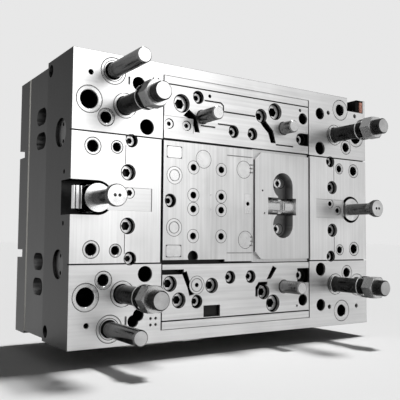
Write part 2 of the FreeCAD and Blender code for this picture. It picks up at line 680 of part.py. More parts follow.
for side, name in ((-1, "left"), (1, "right")):
    inner, outer = side * (pocket_half + size["seat_gap"]), side * half_width
    low, high = sorted([inner, outer], key=lambda edge: edge.value)
    top = slot_half - size["seat_gap"]
    cheek = Block(low, high, -top, top, face + size["cheek_thick"], size["cheek_thick"],
                  inset=(0, 1, 1, 1) if side < 0 else (1, 0, 1, 1))
    here = [spot for spot in cheek_screws if spot[0].value * side > 0]
    seam = [spot for spot in seam_screws if spot[0].value * side > 0]
    screw_seats(cheek, "medium", here)
    screw_seats(cheek, "small", seam)
    cheek.drill([(side * (half_width - 82), z) for z in (-88, 88)], 22.04, 30)
    cheek.drill([(side * (half_width - 38), z) for z in (-86, 86)], 29.04, 30)
    centre = side * stud_x
    cheek.drill([(centre, as_size(0))], stud_bore, size["cheek_thick"])
    keeper_in = side * (pocket_half + size["keeper_start"])
    keeper_out = centre - side * (size["stud_dia"] / 2 - size["keeper_grip"])
    half = size["keeper_width"] / 2
    cheek.mill(rectangle(keeper_in, centre + side * 18, -half, half),
               size["keeper_sunk"] + size["keeper_thick"])
    if side < 0:
        cheek.mill(rectangle(centre, outer, -stud_bore / 2, stud_bore / 2), size["side_notch_deep"])
    for z in (60, -93):
        seam_x = side * (half_width - 98.5)
        cheek.mill(rectangle(seam_x - 0.75, seam_x + 0.75, z, z + 33), 3)
    spots = [spot for spot in keeper_screws + latch_screws if spot[0].value * side > 0]
    cheek.drill(spots, size["small_shank"] + 1, size["cheek_thick"])
    node(f"{name}_cheek", cut(cheek.body, side_rods(interlock_spots, 50, 11) + vent_holes))
    low, high = sorted([keeper_in + side * 0.3, keeper_out], key=lambda edge: edge.value)
    keeper = Block(low, high, -half + 0.3, half - 0.3,
                   face + size["keeper_sunk"] + size["keeper_thick"], size["keeper_thick"])
    keeper.drill(spots, size["small_shank"] + 1, size["keeper_thick"])
    keeper.drill(spots, size["small_head"] + 2, size["small_shank"] + 1)
    node(f"{name}_keeper", keeper.body)
    node(f"{name}_latch_stud", latch_stud(centre))


# Core insert with its sleeves, wear discs, corner blocks and gate block
insert_floor = face + size["pocket_deep"]
gap = size["seat_gap"]
core = Block(-(pocket_half - gap), size["split_x"] - gap, -(slot_half - gap), slot_half - gap,
             insert_floor, size["pocket_deep"], inset=(1, 1, 1, 1))
sleeve_spots = [(x, z) for x in (-111, -48.5) for z in (64, 13, -12.5, -62)]
wear_spots = [(-151.5, -47), (-151.5, 47)]
corner_spots = [(-152, -89), (-152, 89)]
core.drill(large_pin_spots, LARGE_PIN + 2 * size["running_gap"], size["pocket_deep"])
core.drill(small_pin_spots, SMALL_PIN + 2 * size["running_gap"], size["pocket_deep"])
core.drill(sleeve_spots, 24.04, 30)
core.drill(wear_spots, 31.04, 12)
for x, z in corner_spots:
    core.mill(rectangle(x - 16, x + 16, z - 11, z + 11), 14)
core.mill(rectangle(7, 23, -17, 21), 10)
screw_seats(core, "small", core_screws)
for z in (92, -94):
    core.mill(rectangle(-35, size["split_x"] - gap, z, z + 2), 3)
core.mill(rectangle(-(pocket_half - gap), -40, -(slot_half - gap), -(slot_half - gap) + 6.5), 12)
core.drill([(-111, -(slot_half - 12))], 22, 12)
for z in (62, 70, 77, -64, -72, -80):
    core.mill(rectangle(19, size["split_x"] - gap, z, z + 2.5), 4)
node("core_insert", core.body)


def disc(x, z, dia, thick, bore, groove=0):
    """A flush disc or sleeve seated in the parting face, with a turned groove if it has one."""
    outer, inner = as_size(dia) / 2, as_size(bore) / 2
    outline = [(inner, 0), (outer, 0), (outer, thick)]
    if groove:
        outline += [(groove + 1.5, thick), (groove + 1.5, thick - 2), (groove, thick - 2), (groove, thick)]
    outline += [(inner, thick)]
    return turned(outline, x, face + thick, z)


node("core_sleeves", together([disc(x, z, 24, 30, 13) for x, z in sleeve_spots]))
node("wear_discs", together([disc(x, z, 31, 12, 0, groove=9.5) for x, z in wear_spots]))
corner_blocks = []
for x, z in corner_spots:
    block = Block(x - 15.2, x + 15.2, z - 10.2, z + 10.2, face + 14, 14)
    block.round_corners(4)
    corner_blocks.append(block.body)
node("corner_blocks", together(corner_blocks))
gate = Block(7.2, 22.8, -16.8, 20.8, face + 10, 10)
gate.drill([(15, 2)], 8, 10)
node("gate_block", gate.body)

# Cavity insert: two round pockets joined by a channel that holds a half-round core
cavity_deep = 22
cavity = Block(size["split_x"] + gap, pocket_half - gap, -(slot_half - gap), slot_half - gap,
               insert_floor, size["pocket_deep"] - size["groove_deep"])
left, right = size["split_x"] + gap + 3, pocket_half - gap - size["groove_wide"]
low, high = -(slot_half - gap - 6), slot_half - gap - 6
cavity.pad([(left + 15, low), (right, low), (right, high), (left + 15, high),
            (left, high - 15), (left, low + 15)],
           size["pocket_deep"] - size["groove_deep"], size["groove_deep"])
cavity.thick = size["pocket_deep"]
cavity.drill([(105, 42)], 52, cavity_deep)
cavity.drill([(105, -38)], 52, cavity_deep)
cavity.mill(rectangle(92, 131, -40, 40), cavity_deep)
cavity.mill(rectangle(66, 140, -17.2, 17.2), cavity_deep)
cavity.drill(cavity_screws, size["small_shank"] + 1, size["pocket_deep"])
cavity.drill([(52, 30), (57, -15)], 4, 10)
node("cavity_insert", cavity.body)
half_round = cut(rod(66.3, face + cavity_deep, 0, 34, 73.4, "right"),
                 [box(60, 150, face + cavity_deep, face + cavity_deep + 30, -20, 20),
                  box(101, 110, face, face + cavity_deep - 9, -20, 20),
                  box(112, 115, face, face + cavity_deep - 13, -20, 20)])
node("cavity_core", half_round)
node("cavity_screws", together(screws("small", cavity_screws, size["pocket_deep"],
                                      cavity_deep - size["small_shank"])))

# Upper and lower bars with their rails
bar_low = slot_half + gap


def bar(sign):
    low, high = sorted([sign * bar_low, sign * bar_high], key=lambda edge: edge.value)
    return Block(-(pocket_half - gap), pocket_half - gap, low, high, insert_floor,
                 size["pocket_deep"], inset=(1, 1, 0.6, 0.6))


def rail(sign):
    low, high = sorted([sign * (bar_high + gap), sign * (size["pocket_height"] / 2 - gap)],
                       key=lambda edge: edge.value)
    return Block(-(pocket_half - gap), pocket_half - gap, low, high, insert_floor,
                 size["pocket_deep"], inset=(1, 1, 0.4, 0.4)).body


locator_spots = [(-92, 160, 52), (107, 160, 32), (107, -161, 54)]
LOCATOR_DIA, LOCATOR_SEAT = 25, 40
upper = bar(1)
screw_seats(upper, "small", upper_small)
screw_seats(upper, "medium", upper_medium)
screw_seats(upper, "large", upper_large)
upper.mill(rectangle(-(pocket_half - gap), -111.7, 126.7, 154.3), 22)
upper.drill(lock_screws, 11, size["pocket_deep"])
for outline in ([(-134, 158), (-122, 171), (-106, 160), (-98, 130), (-109, 130), (-114, 150)],
                [(40, 172), (52, 158), (66, 146), (73, 127), (86, 127), (79, 152), (64, 166), (54, 176)]):
    upper.mill(outline, 26)
for outline in (rectangle(-88, -50, 190.5, 193.5), rectangle(-45, 33, 174.5, 177.5),
                [(-50, 193.5), (-43, 188), (-43, 174), (-46, 174), (-46, 186.5), (-51.5, 190.5)],
                rectangle(-96, -63, 142, 145), rectangle(-57, -20, 149.5, 152.5),
                rectangle(86, 133, 123, 126)):
    upper.mill(outline, 6)
upper.mill(rectangle(153, pocket_half - gap, 129, 155), 22)
upper.drill([(-76, 201.5), (152, 203)], 7, 12)
upper.drill([(160, 186)], 24, 30)
upper.drill([(x, z) for x, z, reach in locator_spots if z > 0], LOCATOR_DIA + 0.04, LOCATOR_SEAT)
node("upper_bar", upper.body)
lower = bar(-1)
screw_seats(lower, "small", lower_small)
screw_seats(lower, "medium", lower_medium)
screw_seats(lower, "large", lower_large)
for outline in (rectangle(-(pocket_half - gap), -130, -131, -122),
                [(-134, -129), (-124, -125), (-114, -152), (-108, -168), (-118, -170), (-122, -156)],
                [(62, -146), (73, -144), (88, -124), (78, -119)],
                [(34, -160), (42, -150), (64, -150), (64, -156), (46, -157), (40, -165), (40, -178),
                 (34, -178)]):
    lower.mill(outline, 20)
lower.mill(rectangle(143, pocket_half - gap, -155, -125), 20)
lower.mill(rectangle(-87, -50, -210, -189), 8)
lower.drill([(-102, -151)], 32.04, 15)
lower.drill([(142, -201)], 5, 10)
lower.drill([(158, -190)], 24, 30)
lower.drill([(x, z) for x, z, reach in locator_spots if z < 0], LOCATOR_DIA + 0.04, LOCATOR_SEAT)
node("lower_bar", lower.body)
node("upper_rail", rail(1))
node("lower_rail", rail(-1))
node("ring_disc", disc(-102, -151, 32, 15, 8, groove=11))
lock = Block(-(pocket_half - gap - 2.5), -112, 127, 154, face + 22, 21)
lock.drill(lock_screws, 11, 21)
lock.drill(lock_screws, 19, 12)
node("lock_block", lock.body)


def lock_screw(x, z):
    body = fused([rod(x, face + 13, z, 16, 10, "out"), rod(x, face + 13, z, 10, 55, "in")])
    key = doc.addObject("Part::Prism", "socket")
    key.Polygon = 6
    key.Circumradius = 4.6
    key.Height = 6
    place(key, x, face + 8, z, "out")
    return cut(body, [key])


node("lock_block_screws", together([lock_screw(x, z) for x, z in lock_screws]))


def locator(x, z, reach):
    radius, length = LOCATOR_DIA / 2, LOCATOR_SEAT + reach
    outline = [(0, 0), (radius, 0), (radius, length - 2), (radius - 2, length), (0, length)]
    return turned(outline, x, face + LOCATOR_SEAT, z)


node("locating_pins", together([locator(x, z, reach) for x, z, reach in locator_spots]))


# Bushes of the parting face
def bush(x, z, dia, bore, length, flange=True, mouth=0):
    outer, inner = dia / 2, bore / 2
    rim = outer + size["flange_wide"] if flange else outer
    outline = [(inner, 0), (outer, 0)]
    if flange:
        outline += [(outer, length - size["flange_thick"]), (rim, length - size["flange_thick"])]
    outline += [(rim, length - 1), (rim - 1, length)]
    if mouth:
        outline += [(inner + size["mouth_wide"], length), (inner, length - size["mouth_deep"])]
    else:
        outline += [(inner + 1, length), (inner, length - 1)]
    return turned(outline, x, face + length, z)


node("leader_bushes", together(
    [bush(x, z, size["leader_bush_dia"], size["leader_dia"] + 2 * size["running_gap"],
          size["leader_bush_length"], mouth=1) for x, z in leader_spots]))
node("receiver_bushes", together(
    [bush(x, z, size["receiver_dia"], size["receiver_bore"], size["receiver_length"])
     for x, z in receiver_spots]))
node("guide_bushes", together(
    [bush(x, z, size["guide_dia"], size["guide_bore"], size["guide_length"]) for x, z in guide_spots]))
node("dowel_bushes", together(
    [bush(x, z, size["dowel_dia"], size["dowel_bore"], size["dowel_length"], flange=False)
     for x, z in dowel_spots]))
cheek_bushes = []
for side in (-1, 1):
    for z in (-88, 88):
        cheek_bushes.append(bush(side * (half_width - 82), z, as_size(22), as_size(15), as_size(30), False))
    for z in (-86, 86):
        cheek_bushes.append(bush(side * (half_width - 38), z, as_size(29), as_size(20), as_size(30), False))
node("cheek_bushes", together(cheek_bushes))

# Screws of the parting face
node("cheek_screws", together(screws("medium", cheek_screws, size["cheek_thick"])))
node("seam_screws", together(screws("small", seam_screws, size["cheek_thick"])))
node("keeper_screws", together(screws("small", keeper_screws + latch_screws, size["cheek_thick"],
                                      size["keeper_sunk"] + 1)))
node("small_bar_screws", together(
    screws("small", upper_small + lower_small + core_screws, size["pocket_deep"])))
node("medium_bar_screws", together(
    screws("medium", upper_medium + lower_medium, size["pocket_deep"])))
node("large_bar_screws", together(
    screws("large", upper_large + lower_large, size["pocket_deep"])))

doc.recompute()
os.makedirs("parts", exist_ok=True)
for thing in doc.Objects:
    bad = [state for state in thing.State if state in ("Invalid", "Error")]
    if bad:
        raise RuntimeError(f"{thing.Label}: {bad}")
for thing in nodes:
    if thing.Shape.isNull() or not thing.Shape.isValid():
        raise RuntimeError(f"{thing.Label} has no valid shape")
    thing.Shape.exportStep(f"parts/{thing.Label}.step")
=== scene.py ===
import itertools
import json
import math

import bpy
from mathutils import Matrix, Vector

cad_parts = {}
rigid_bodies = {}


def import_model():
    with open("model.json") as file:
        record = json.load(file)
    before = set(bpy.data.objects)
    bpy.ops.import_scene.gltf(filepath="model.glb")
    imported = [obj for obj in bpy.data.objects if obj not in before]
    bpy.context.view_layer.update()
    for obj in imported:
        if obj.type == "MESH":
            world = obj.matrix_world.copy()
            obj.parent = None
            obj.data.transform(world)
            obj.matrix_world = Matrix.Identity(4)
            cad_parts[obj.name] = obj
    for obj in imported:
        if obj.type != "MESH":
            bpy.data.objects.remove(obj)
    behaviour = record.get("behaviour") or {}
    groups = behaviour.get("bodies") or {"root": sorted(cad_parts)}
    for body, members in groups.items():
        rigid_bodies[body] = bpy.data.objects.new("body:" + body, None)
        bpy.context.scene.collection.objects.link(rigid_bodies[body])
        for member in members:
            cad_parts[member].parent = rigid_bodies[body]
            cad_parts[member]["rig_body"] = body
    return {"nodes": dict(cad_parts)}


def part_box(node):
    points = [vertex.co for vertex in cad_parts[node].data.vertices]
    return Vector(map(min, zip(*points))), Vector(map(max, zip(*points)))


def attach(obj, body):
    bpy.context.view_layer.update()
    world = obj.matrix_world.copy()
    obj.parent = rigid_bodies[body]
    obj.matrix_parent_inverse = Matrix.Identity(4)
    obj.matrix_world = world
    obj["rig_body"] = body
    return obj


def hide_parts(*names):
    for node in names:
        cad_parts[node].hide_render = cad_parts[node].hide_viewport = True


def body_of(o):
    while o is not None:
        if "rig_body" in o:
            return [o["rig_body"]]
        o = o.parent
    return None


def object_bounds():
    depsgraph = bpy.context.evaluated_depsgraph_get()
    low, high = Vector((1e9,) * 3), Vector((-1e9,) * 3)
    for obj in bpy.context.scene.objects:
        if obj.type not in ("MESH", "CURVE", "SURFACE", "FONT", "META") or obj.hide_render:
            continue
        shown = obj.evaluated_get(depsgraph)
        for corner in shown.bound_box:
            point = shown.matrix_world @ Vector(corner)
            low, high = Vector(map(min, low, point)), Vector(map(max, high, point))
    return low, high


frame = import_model()
cad_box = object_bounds()
part = frame["nodes"]


# ------------------------------------------------------------------ frame plate
# The big plate of the moving half is one block of tool steel. Its parting face is ground, so it
# carries fine straight lines. Its outer sides are painted dark as shade, with a painted reflection
# of the floor lighter towards the bottom, and its holes are black below their rims with painted shade.

plate_low, plate_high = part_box("frame_plate")
plate_body = body_of(part["frame_plate"])[0]
face_y = plate_low.y
side_x = plate_high.x
side_z = plate_high.z

GRAIN_X = (5, 240, 240)
GRAIN_Z = (240, 240, 5)
HOLE_SHADE_DEPTH = (0.0012, 0.007)
DEEP_SHADE_LEVEL = 0.035
SIDE_SHADE_TONE = 0.075
SIDE_MARGIN = 0.0004


def wire(tree, kind, inputs=(), **settings):
    """Adds one shader node. inputs maps a socket to a value or to another node's socket."""
    made = tree.nodes.new(kind)
    for setting, value in settings.items():
        setattr(made, setting, value)
    for socket, value in dict(inputs).items():
        if isinstance(value, bpy.types.NodeSocket):
            tree.links.new(value, made.inputs[socket])
        else:
            made.inputs[socket].default_value = value
    return made


def maths(tree, operation, first, second=0.0):
    return wire(tree, "ShaderNodeMath", {0: first, 1: second}, operation=operation).outputs[0]


def spread(tree, value, low, high, to_low, to_high):
    """value moved from the span low..high to the span to_low..to_high."""
    ends = {"Value": value, "From Min": low, "From Max": high, "To Min": to_low, "To Max": to_high}
    return wire(tree, "ShaderNodeMapRange", ends).outputs["Result"]


def swing(tree, noise, to_low, to_high):
    """Noise, which mostly stays between 0.3 and 0.7, moved to the span to_low..to_high."""
    return spread(tree, noise, 0.3, 0.7, to_low, to_high)


def streaks(tree, scale, distortion=0.0):
    """Noise drawn out along the axes with the small scales, which makes tool marks."""
    place = wire(tree, "ShaderNodeTexCoord").outputs["Object"]
    stretched = wire(tree, "ShaderNodeMapping", {"Vector": place, "Scale": scale})
    inputs = {"Vector": stretched.outputs["Vector"], "Scale": 1.0, "Detail": 3.0, "Roughness": 0.55,
              "Distortion": distortion}
    return wire(tree, "ShaderNodeTexNoise", inputs).outputs["Fac"]


def axes(tree, output):
    """The x, y and z sockets of a coordinate output in the frame of the object."""
    source = wire(tree, "ShaderNodeTexCoord").outputs[output]
    return wire(tree, "ShaderNodeSeparateXYZ", {0: source}).outputs


def past_side(tree, coordinate, side):
    """1 on the plate's outer side at that distance from the middle, and 0 inside it."""
    return maths(tree, "GREATER_THAN", maths(tree, "ABSOLUTE", coordinate), side - SIDE_MARGIN)


def steel(name, tone, roughness, marks, contrast=0.06, cloud=0.06, recess_shade=None, ends=None, side_shade=None):
    """Bare machined steel with tool marks along one axis and the soft clouds that wiping leaves.

    The span of depth behind the parting face over which holes turn black paints shade into them. ends is the
    tone of the faced ends of a turned piece, and the side tone is the tone of the frame plate's outer sides,
    painted dark as shade with a painted reflection of the floor lighter towards the bottom.
    """
    material = bpy.data.materials.new(name)
    material.use_nodes = True
    tree = material.node_tree
    surface = tree.nodes["Principled BSDF"]
    lines = streaks(tree, marks)
    clouds = streaks(tree, (9, 9, 9), distortion=0.6)
    level = maths(tree, "MULTIPLY", swing(tree, lines, 1 - contrast, 1 + contrast),
                  swing(tree, clouds, 1 - cloud, 1 + cloud))
    base = tone
    if ends is not None:
        base = spread(tree, axes(tree, "Normal")[1], -0.97, -0.8, ends, tone)
    place = axes(tree, "Object")
    # Painted shade: holes and recesses turn black with depth behind the parting face
    if recess_shade:
        unshaded = spread(tree, place[1], face_y + recess_shade[0], face_y + recess_shade[1], 1.0, DEEP_SHADE_LEVEL)
        base = maths(tree, "MULTIPLY", base, unshaded)
    if side_shade is not None:
        beyond = maths(tree, "MAXIMUM", past_side(tree, place[0], side_x), past_side(tree, place[2], side_z))
        # The outer sides are painted dark as shade and lighter towards the bottom, a painted reflection of
        # the floor
        side = spread(tree, place[2], -side_z, side_z, side_shade * 1.7, side_shade * 0.5)
        mixed = wire(tree, "ShaderNodeMix", {"Factor": beyond, 2: base, 3: side}, data_type="FLOAT")
        base = mixed.outputs[0]
    value = maths(tree, "MULTIPLY", level, base)
    colour = wire(tree, "ShaderNodeCombineXYZ", {0: value, 1: value, 2: value}).outputs["Vector"]
    tree.links.new(colour, surface.inputs["Base Color"])
    rough = maths(tree, "ADD", swing(tree, lines, -0.03, 0.03),
                  swing(tree, clouds, roughness - 0.04, roughness + 0.04))
    tree.links.new(rough, surface.inputs["Roughness"])
    bump = wire(tree, "ShaderNodeBump", {"Height": lines, "Strength": 0.15, "Distance": 0.0002})
    tree.links.new(bump.outputs["Normal"], surface.inputs["Normal"])
    surface.inputs["Metallic"].default_value = 1.0
    surface.inputs["Specular Tint"].default_value = (0.6, 0.6, 0.6, 1)
    return material


def finish(material, *names):
    """Gives CAD pieces a worked finish in place of the plain one they came with."""
    for name in names:
        mesh = part[name].data
        mesh.materials.clear()
        mesh.materials.append(material)


def break_edges(*names):
    """The small broken edge that every block gets after machining, which catches the light."""
    for name in names:
        weld = part[name].modifiers.new("weld", "WELD")
        weld.merge_threshold = 0.00002
        broken = part[name].modifiers.new("broken_edge", "BEVEL")
        broken.width = 0.0007
        broken.segments = 2
        broken.limit_method = "ANGLE"
        broken.angle_limit = math.radians(50)
        broken.harden_normals = True
        broken.use_clamp_overlap = True


finish(steel("ground_frame_steel", 0.70, 0.36, GRAIN_X, recess_shade=HOLE_SHADE_DEPTH, side_shade=SIDE_SHADE_TONE), "frame_plate")
break_edges("frame_plate")


# ------------------------------------------------------ clamp plate and housing
# Behind the frame plate comes the ejector housing, and the clamp plate closes the back. Both are
# milled steel all over, painted dark as shade and lighter towards the bottom with a painted
# reflection of the floor, and they are held by six long screws.

def milled_steel_painted_reflection(name, tone):
    """Milled steel that is lighter towards the bottom, a painted reflection of the floor."""
    material = steel(name, tone, 0.4, GRAIN_Z, cloud=0.12)
    tree = material.node_tree
    surface = tree.nodes["Principled BSDF"]
    worn = surface.inputs["Base Color"].links[0].from_socket
    # Painted reflection of the floor: brighter towards the bottom
    painted_floor_reflection = spread(tree, axes(tree, "Object")[2], -side_z, side_z, 1.7, 0.6)
    scaled = wire(tree, "ShaderNodeVectorMath", {0: worn, 3: painted_floor_reflection}, operation="SCALE")
    tree.links.new(scaled.outputs["Vector"], surface.inputs["Base Color"])
    return material


finish(milled_steel_painted_reflection("milled_plate_steel", 0.1), "clamp_plate", "ejector_housing")
break_edges("clamp_plate", "ejector_housing")


# ------------------------------------------------------------- insulation board
# A board of pressed glass fibre lies between the housing and the clamp plate and keeps the heat in
# the mould. It is cut to the size of the plates, and only its pale edge shows.

def plain(name, colour, roughness, grain, depth):
    """A matt moulded or pressed material with a fine speckle in its colour and surface."""
    material = bpy.data.materials.new(name)
    material.use_nodes = True
    tree = material.node_tree
    surface = tree.nodes["Principled BSDF"]
    speckle = streaks(tree, grain)
    tint = wire(tree, "ShaderNodeVectorMath", {0: colour, 3: swing(tree, speckle, 0.85, 1.1)},
                operation="SCALE")
    tree.links.new(tint.outputs["Vector"], surface.inputs["Base Color"])
    surface.inputs["Roughness"].default_value = roughness
    bump = wire(tree, "ShaderNodeBump", {"Height": speckle, "Strength": 0.3, "Distance": depth})
    tree.links.new(bump.outputs["Normal"], surface.inputs["Normal"])
    return material


finish(plain("glass_fibre_board", (0.55, 0.54, 0.5), 0.7, (300, 900, 300), 0.0003), "insulation_plate")


# ------------------------------------------------------- register ring and rear
# The register ring centres the mould on the press. It is turned, like the pillars, buttons and
# guide bushes inside the housing. The cap screws at the back are blackened.

finish(steel("turned_ring_steel", 0.5, 0.3, (90, 30, 90)), "register_ring", "support_pillars",
       "stop_buttons", "ejector_guide_bushes")
finish(steel("black_screw_steel", 0.09, 0.4, (80, 80, 80), cloud=0.15), "register_ring_screws",
       "housing_screws", "ejector_plate_screws")


# --------------------------------------------------------------- ejector plates
# Two ground steel plates slide in the housing on four guide pins and push the ejector pins, which
# end flush with the core insert. The plates show through the open ends of the channel.

finish(steel("ejector_plate_steel", 0.42, 0.38, GRAIN_X), "ejector_plate", "ejector_retainer_plate")
finish(steel("ejector_pin_steel", 0.5, 0.3, (80, 300, 80), ends=0.62), "core_ejector_pins",
       "small_ejector_pins", "ejector_guide_pins")


# ----------------------------------------------------------- cheeks and keepers
# The steel cheeks close both ends of the cross pocket and are ground flush with the frame plate.
# A keeper is let into each of them and holds the latch stud.

finish(steel("ground_cheek_steel", 0.72, 0.35, GRAIN_Z, recess_shade=HOLE_SHADE_DEPTH, side_shade=SIDE_SHADE_TONE),
       "left_cheek", "right_cheek")
break_edges("left_cheek", "right_cheek")
# The keepers sit deeper and darken with depth, a painted shade
finish(steel("keeper_steel", 0.64, 0.34, GRAIN_X, recess_shade=(0.0035, 0.008)), "left_keeper", "right_keeper")


# ---------------------------------------------------------------------- inserts
# The core insert and the cavity insert are tool steel, ground to the parting face. Sleeves, wear
# discs and small blocks are let into the core insert, and a polished half-round core lies in the
# cavity.

# Painted shade darkens the holes of the inserts and the floor of the cavity with depth
finish(steel("core_insert_steel", 0.6, 0.34, GRAIN_Z, contrast=0.1, cloud=0.1, recess_shade=(0.001, 0.006)),
       "core_insert", "core_sleeves")
finish(steel("let_in_block_steel", 0.64, 0.3, (160, 160, 160), recess_shade=(0.0006, 0.003)), "wear_discs",
       "corner_blocks", "gate_block", "ring_disc")
finish(steel("cavity_insert_steel", 0.62, 0.33, GRAIN_Z, cloud=0.05, recess_shade=(0.004, 0.026)), "cavity_insert")
finish(steel("polished_core_steel", 0.6, 0.2, (300, 8, 300), contrast=0.03), "cavity_core")
break_edges("core_insert", "cavity_insert")


# ------------------------------------------------------------------------- bars
# The steel bars above and below the inserts carry channels and screws. Their faces keep the marks
# of the long milling passes, and each bar has a rail beside it.

# Painted shade darkens the holes and channels of the bars with depth
finish(steel("milled_bar_steel", 0.66, 0.36, (4, 130, 130), contrast=0.13, recess_shade=HOLE_SHADE_DEPTH),
       "upper_bar", "lower_bar", "upper_rail", "lower_rail")
break_edges("upper_bar", "lower_bar")
finish(steel("lock_block_steel", 0.64, 0.34, GRAIN_X, recess_shade=(0.003, 0.008)), "lock_block")


# -------------------------------------------------------------- bushes and discs
# Bushes are hardened and ground rings, pressed into the plate and the cheeks, and their bores are
# black with painted shade. Every bush, sleeve, large pin and disc in the face shows a thin black ring
# round it, painted shade of its joint.

JOINT_PROUD = 0.00006
RING_ROOT = 0.0001
TURN_STEPS = 40
ROUND_TOLERANCE = 0.001
FACE_REACH = 0.012


def solids(name):
    """The lowest and highest corner of each separate solid of a CAD node."""
    mesh = part[name].data
    group = {}

    def root(key):
        while group[key] != key:
            group[key] = group[group[key]]
            key = group[key]
        return key

    keys = [tuple(round(c, 5) for c in vertex.co) for vertex in mesh.vertices]
    for key in keys:
        group.setdefault(key, key)
    for polygon in mesh.polygons:
        first = root(keys[polygon.vertices[0]])
        for index in polygon.vertices[1:]:
            group[root(keys[index])] = first
    found = {}
    for key in group:
        found.setdefault(root(key), []).append(key)
    corners = []
    for members in found.values():
        low = Vector(min(key[axis] for key in members) for axis in range(3))
        high = Vector(max(key[axis] for key in members) for axis in range(3))
        corners.append((low, high))
    return sorted(corners, key=lambda pair: tuple(pair[0]))


def round_heads(*names):
    """Where the round solids of some nodes meet the parting face, as (x, z, radius)."""
    circles = []
    for node in names:
        for low, high in solids(node):
            wide = (high.x - low.x) / 2
            tall = (high.z - low.z) / 2
            if abs(wide - tall) < ROUND_TOLERANCE and low.y < face_y + FACE_REACH:
                circles.append(((low.x + high.x) / 2, (low.z + high.z) / 2, wide))
    return circles


def add_piece(name, corners, faces, material, body):
    """A visual piece that rides with a body and carries the material it is given."""
    mesh = bpy.data.meshes.new(name)
    mesh.from_pydata(corners, [], faces)
    mesh.materials.append(material)
    piece = bpy.data.objects.new(name, mesh)
    bpy.context.scene.collection.objects.link(piece)
    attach(piece, body)
    return piece


def turned(name, outlines, material, body):
    """One piece of turned surfaces along y. outlines is a list of (x, z, [(radius, y), ...])."""
    corners = []
    faces = []
    for centre_x, centre_z, outline in outlines:
        start = len(corners)
        count = len(outline)
        for step in range(TURN_STEPS):
            angle = 2 * math.pi * step / TURN_STEPS
            for radius, y in outline:
                corners.append((centre_x + radius * math.cos(angle), y, centre_z + radius * math.sin(angle)))
        for step in range(TURN_STEPS):
            following = (step + 1) % TURN_STEPS
            for point in range(count - 1):
                a = start + step * count + point
                b = start + following * count + point
                faces.append((a, a + 1, b + 1, b))
    return add_piece(name, corners, faces, material, body)


def shade_rings(name, circles, inner, outer):
    """Flat black rings of painted shade on the parting face, from inner to outer beyond the radius of each
    circle.
    """
    outlines = []
    for x, z, radius in circles:
        outline = [(radius + outer, face_y + RING_ROOT), (radius + outer, face_y - JOINT_PROUD),
                   (radius + inner, face_y - JOINT_PROUD), (radius + inner, face_y + RING_ROOT)]
        outlines.append((x, z, outline))
    turned(name, outlines, painted_shade_black, plate_body)


finish(steel("bush_steel", 0.66, 0.28, (120, 120, 120), recess_shade=(0.003, 0.012)), "leader_bushes",
       "receiver_bushes", "guide_bushes", "dowel_bushes", "cheek_bushes")
finish(steel("interlock_steel", 0.16, 0.35, (120, 120, 120)), "interlock_discs")

# Black of painted shade, for the joints, the thread grooves and the port notch
painted_shade_black = steel("painted_recess_shade", 0.012, 0.5, (200, 200, 200), cloud=0.3)
flush_heads = round_heads("leader_bushes", "receiver_bushes", "guide_bushes", "dowel_bushes", "cheek_bushes",
                          "core_sleeves", "wear_discs", "core_ejector_pins", "ring_disc")
shade_rings("bush_shade_lines", flush_heads, 0.0, 0.0008)


# ----------------------------------------------------------------------- screws
# Socket cap screws of alloy steel hold the blocks. Their heads sit below the face in counterbores
# and are bright rings round a socket that is black with painted shade. A black ring of painted shade
# lies at the edge of each counterbore.

DEEP_HEAD = 0.009
CAVITY_HEAD = 0.010
SHALLOW_HEAD = 0.003
head_depths = {
    "cheek_screws": DEEP_HEAD,
    "seam_screws": DEEP_HEAD,
    "keeper_screws": SHALLOW_HEAD,
    "small_bar_screws": DEEP_HEAD,
    "medium_bar_screws": DEEP_HEAD,
    "large_bar_screws": DEEP_HEAD,
    "cavity_screws": CAVITY_HEAD,
    "lock_block_screws": SHALLOW_HEAD,
}
for screws, head_depth in head_depths.items():
    socket_shade = (head_depth + 0.0006, head_depth + 0.002)
    finish(steel(screws + "_steel", 0.66, 0.32, (140, 140, 140), recess_shade=socket_shade), screws)

screw_heads = round_heads("cheek_screws", "seam_screws", "small_bar_screws", "medium_bar_screws",
                          "large_bar_screws", "cavity_screws")
shade_rings("counterbore_shade_rings", screw_heads, 0.0008, 0.0022)


# --------------------------------------- leader pins, locating pins, puller bolts
# Leader pins and locating pins are hardened and ground, and the puller bolts are blackened. All have
# bright faced ends. The bright bands of the bolts are painted highlights and their black thread rings
# painted shade, both drawn at the radius of the bolt's collar, so they stand off its thinner shank.
# Black rings of painted shade lie round the pins where they leave the face.

finish(steel("nitrided_pin_steel", 0.03, 0.26, (60, 260, 60), cloud=0.2, contrast=0.15, ends=0.5),
       "puller_bolts")
finish(steel("ground_leader_steel", 0.15, 0.22, (50, 260, 50), cloud=0.25, contrast=0.15, ends=0.55),
       "leader_pins")
finish(steel("locating_pin_steel", 0.2, 0.28, (60, 260, 60), cloud=0.15, ends=0.62), "locating_pins")
finish(steel("nut_steel", 0.3, 0.28, (120, 120, 120), ends=0.6), "puller_nuts")
shade_rings("pin_shade_lines", round_heads("leader_pins", "puller_bolts", "locating_pins"), 0.0002, 0.0014)

BAND_ROOT = 0.0002
THREAD_PITCH = 0.0022
THREAD_WIDTH = 0.001
THREAD_TURNS = 5
# Bright steel for painted highlights on the bolts and the latch studs
highlight_steel = steel("painted_highlight_steel", 0.8, 0.3, (160, 160, 160))
bolt_circles = round_heads("puller_bolts")
bolt_body = body_of(part["puller_bolts"])[0]
nut_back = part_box("puller_nuts")[1].y


def bands(name, circles, spans, proud, material, body):
    """Bands round turned pieces. circles is (x, z, radius), spans is (first y, last y)."""
    outlines = []
    for x, z, radius in circles:
        for first, last in spans:
            outline = [(radius - BAND_ROOT, first), (radius + proud, first), (radius + proud, last),
                       (radius - BAND_ROOT, last)]
            outlines.append((x, z, outline))
    turned(name, outlines, material, body)


